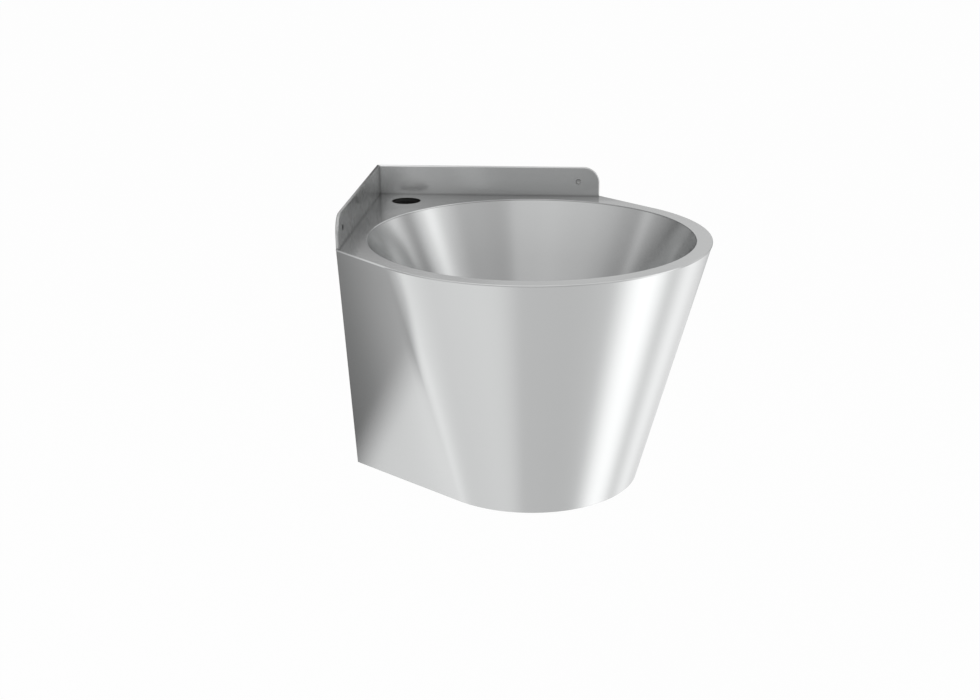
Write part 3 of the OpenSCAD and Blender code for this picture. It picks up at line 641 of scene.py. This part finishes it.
# A dark card stands beside the left flank, which mirrors it. It grows darker towards the back, and
# a paler part below ends at a slant.
card_shades, tree, out = blank("dark card")
place = put(tree, "ShaderNodeTexCoord").outputs["Object"]
part = put(tree, "ShaderNodeSeparateXYZ", {0: place})
front_shade = put(tree, "ShaderNodeMapRange", {
    "Value": part.outputs[1], "From Min": -0.30, "From Max": -0.235, "To Min": 0.84,
    "To Max": 0.30})
back_shade = put(tree, "ShaderNodeMapRange", {
    "Value": part.outputs[1], "From Min": -0.225, "From Max": -0.17, "To Min": 1.0,
    "To Max": 0.45})
upper = put(tree, "ShaderNodeMath", {0: front_shade.outputs[0], 1: back_shade.outputs[0]},
            operation="MULTIPLY")
lower = put(tree, "ShaderNodeMapRange", {
    "Value": part.outputs[1], "From Min": -0.295, "From Max": -0.275, "To Min": 1.45,
    "To Max": 1.04})
slant = put(tree, "ShaderNodeMath", {0: part.outputs[1], 1: 1.4, 2: part.outputs[2]},
            operation="MULTIPLY_ADD")
is_lower = put(tree, "ShaderNodeMapRange", {
    "Value": slant.outputs[0], "From Min": -0.683, "From Max": -0.613, "To Min": 1.0,
    "To Max": 0.0})
tone = put(tree, "ShaderNodeMix", {
    0: is_lower.outputs[0], 2: upper.outputs[0], 3: lower.outputs[0]})
glow = put(tree, "ShaderNodeEmission", {"Color": (1, 1, 1, 1), "Strength": tone.outputs[0]})
tree.links.new(glow.outputs[0], out.inputs["Surface"])
card_x = -0.12
bm = bmesh.new()
bmesh.ops.contextual_create(bm, geom=[bm.verts.new((card_x, y, z)) for y, z in (
    (-0.325, 0.1), (-0.325, -0.80), (0.5, -0.80), (0.5, 0.1))])
dark_card = stage_piece(bm, "dark_card", card_shades)

# A small dark flag stands close behind the back upstand and shades what the deck's corner mirrors
# above the upstand.
flag_cloth, tree, out = blank("flag cloth")
glow = put(tree, "ShaderNodeEmission", {"Color": (0.2, 0.2, 0.2, 1), "Strength": 1.0})
tree.links.new(glow.outputs[0], out.inputs["Surface"])
flag_y = 0.12
bm = bmesh.new()
bmesh.ops.contextual_create(bm, geom=[bm.verts.new((x, flag_y, z)) for x, z in (
    (-0.20, 0.03), (-0.20, 0.11), (0.12, 0.12), (0.16, 0.075), (0.22, 0.05), (0.22, 0.03))])
dark_flag = stage_piece(bm, "dark_flag", flag_cloth)
for card in (ring, dark_card, dark_flag):
    card.visible_camera = card.visible_diffuse = False
    card.visible_shadow = card.visible_transmission = False

# The surroundings are white where they are seen, straight or in a reflection, and light the basin
# with half of that. A large soft box adds light from the front left.
world = bpy.data.worlds.new("white room")
bpy.context.scene.world = world
world.use_nodes = True
world.node_tree.nodes.clear()
tree = world.node_tree
out = put(tree, "ShaderNodeOutputWorld")
rays = put(tree, "ShaderNodeLightPath")
direct = put(tree, "ShaderNodeMath", {
    0: rays.outputs["Is Camera Ray"], 1: rays.outputs["Is Glossy Ray"]}, operation="MAXIMUM")
direct = put(tree, "ShaderNodeMath", {
    0: direct.outputs[0], 1: rays.outputs["Is Transmission Ray"]}, operation="MAXIMUM")
soft = put(tree, "ShaderNodeBackground", {"Color": (1, 1, 1, 1), "Strength": 0.55})
white = put(tree, "ShaderNodeBackground", {"Color": (1, 1, 1, 1), "Strength": 1.0})
mix = put(tree, "ShaderNodeMixShader", {
    0: direct.outputs[0], 1: soft.outputs[0], 2: white.outputs[0]})
tree.links.new(mix.outputs[0], out.inputs["Surface"])

lamp = bpy.data.lights.new("soft box", "AREA")
lamp.energy, lamp.size, lamp.color = 26, 1.6, (1, 1, 1)
box = bpy.data.objects.new("soft box", lamp)
lit_point = Vector((0.2, -0.2, -0.1))
box.location = (-0.6, -1.6, 2.2)
box.rotation_euler = (lit_point - box.location).to_track_quat("-Z", "Y").to_euler()
box.visible_glossy = False
bpy.context.scene.collection.objects.link(box)

bpy.context.scene.view_settings.view_transform = "Standard"
bpy.context.view_layer.update()
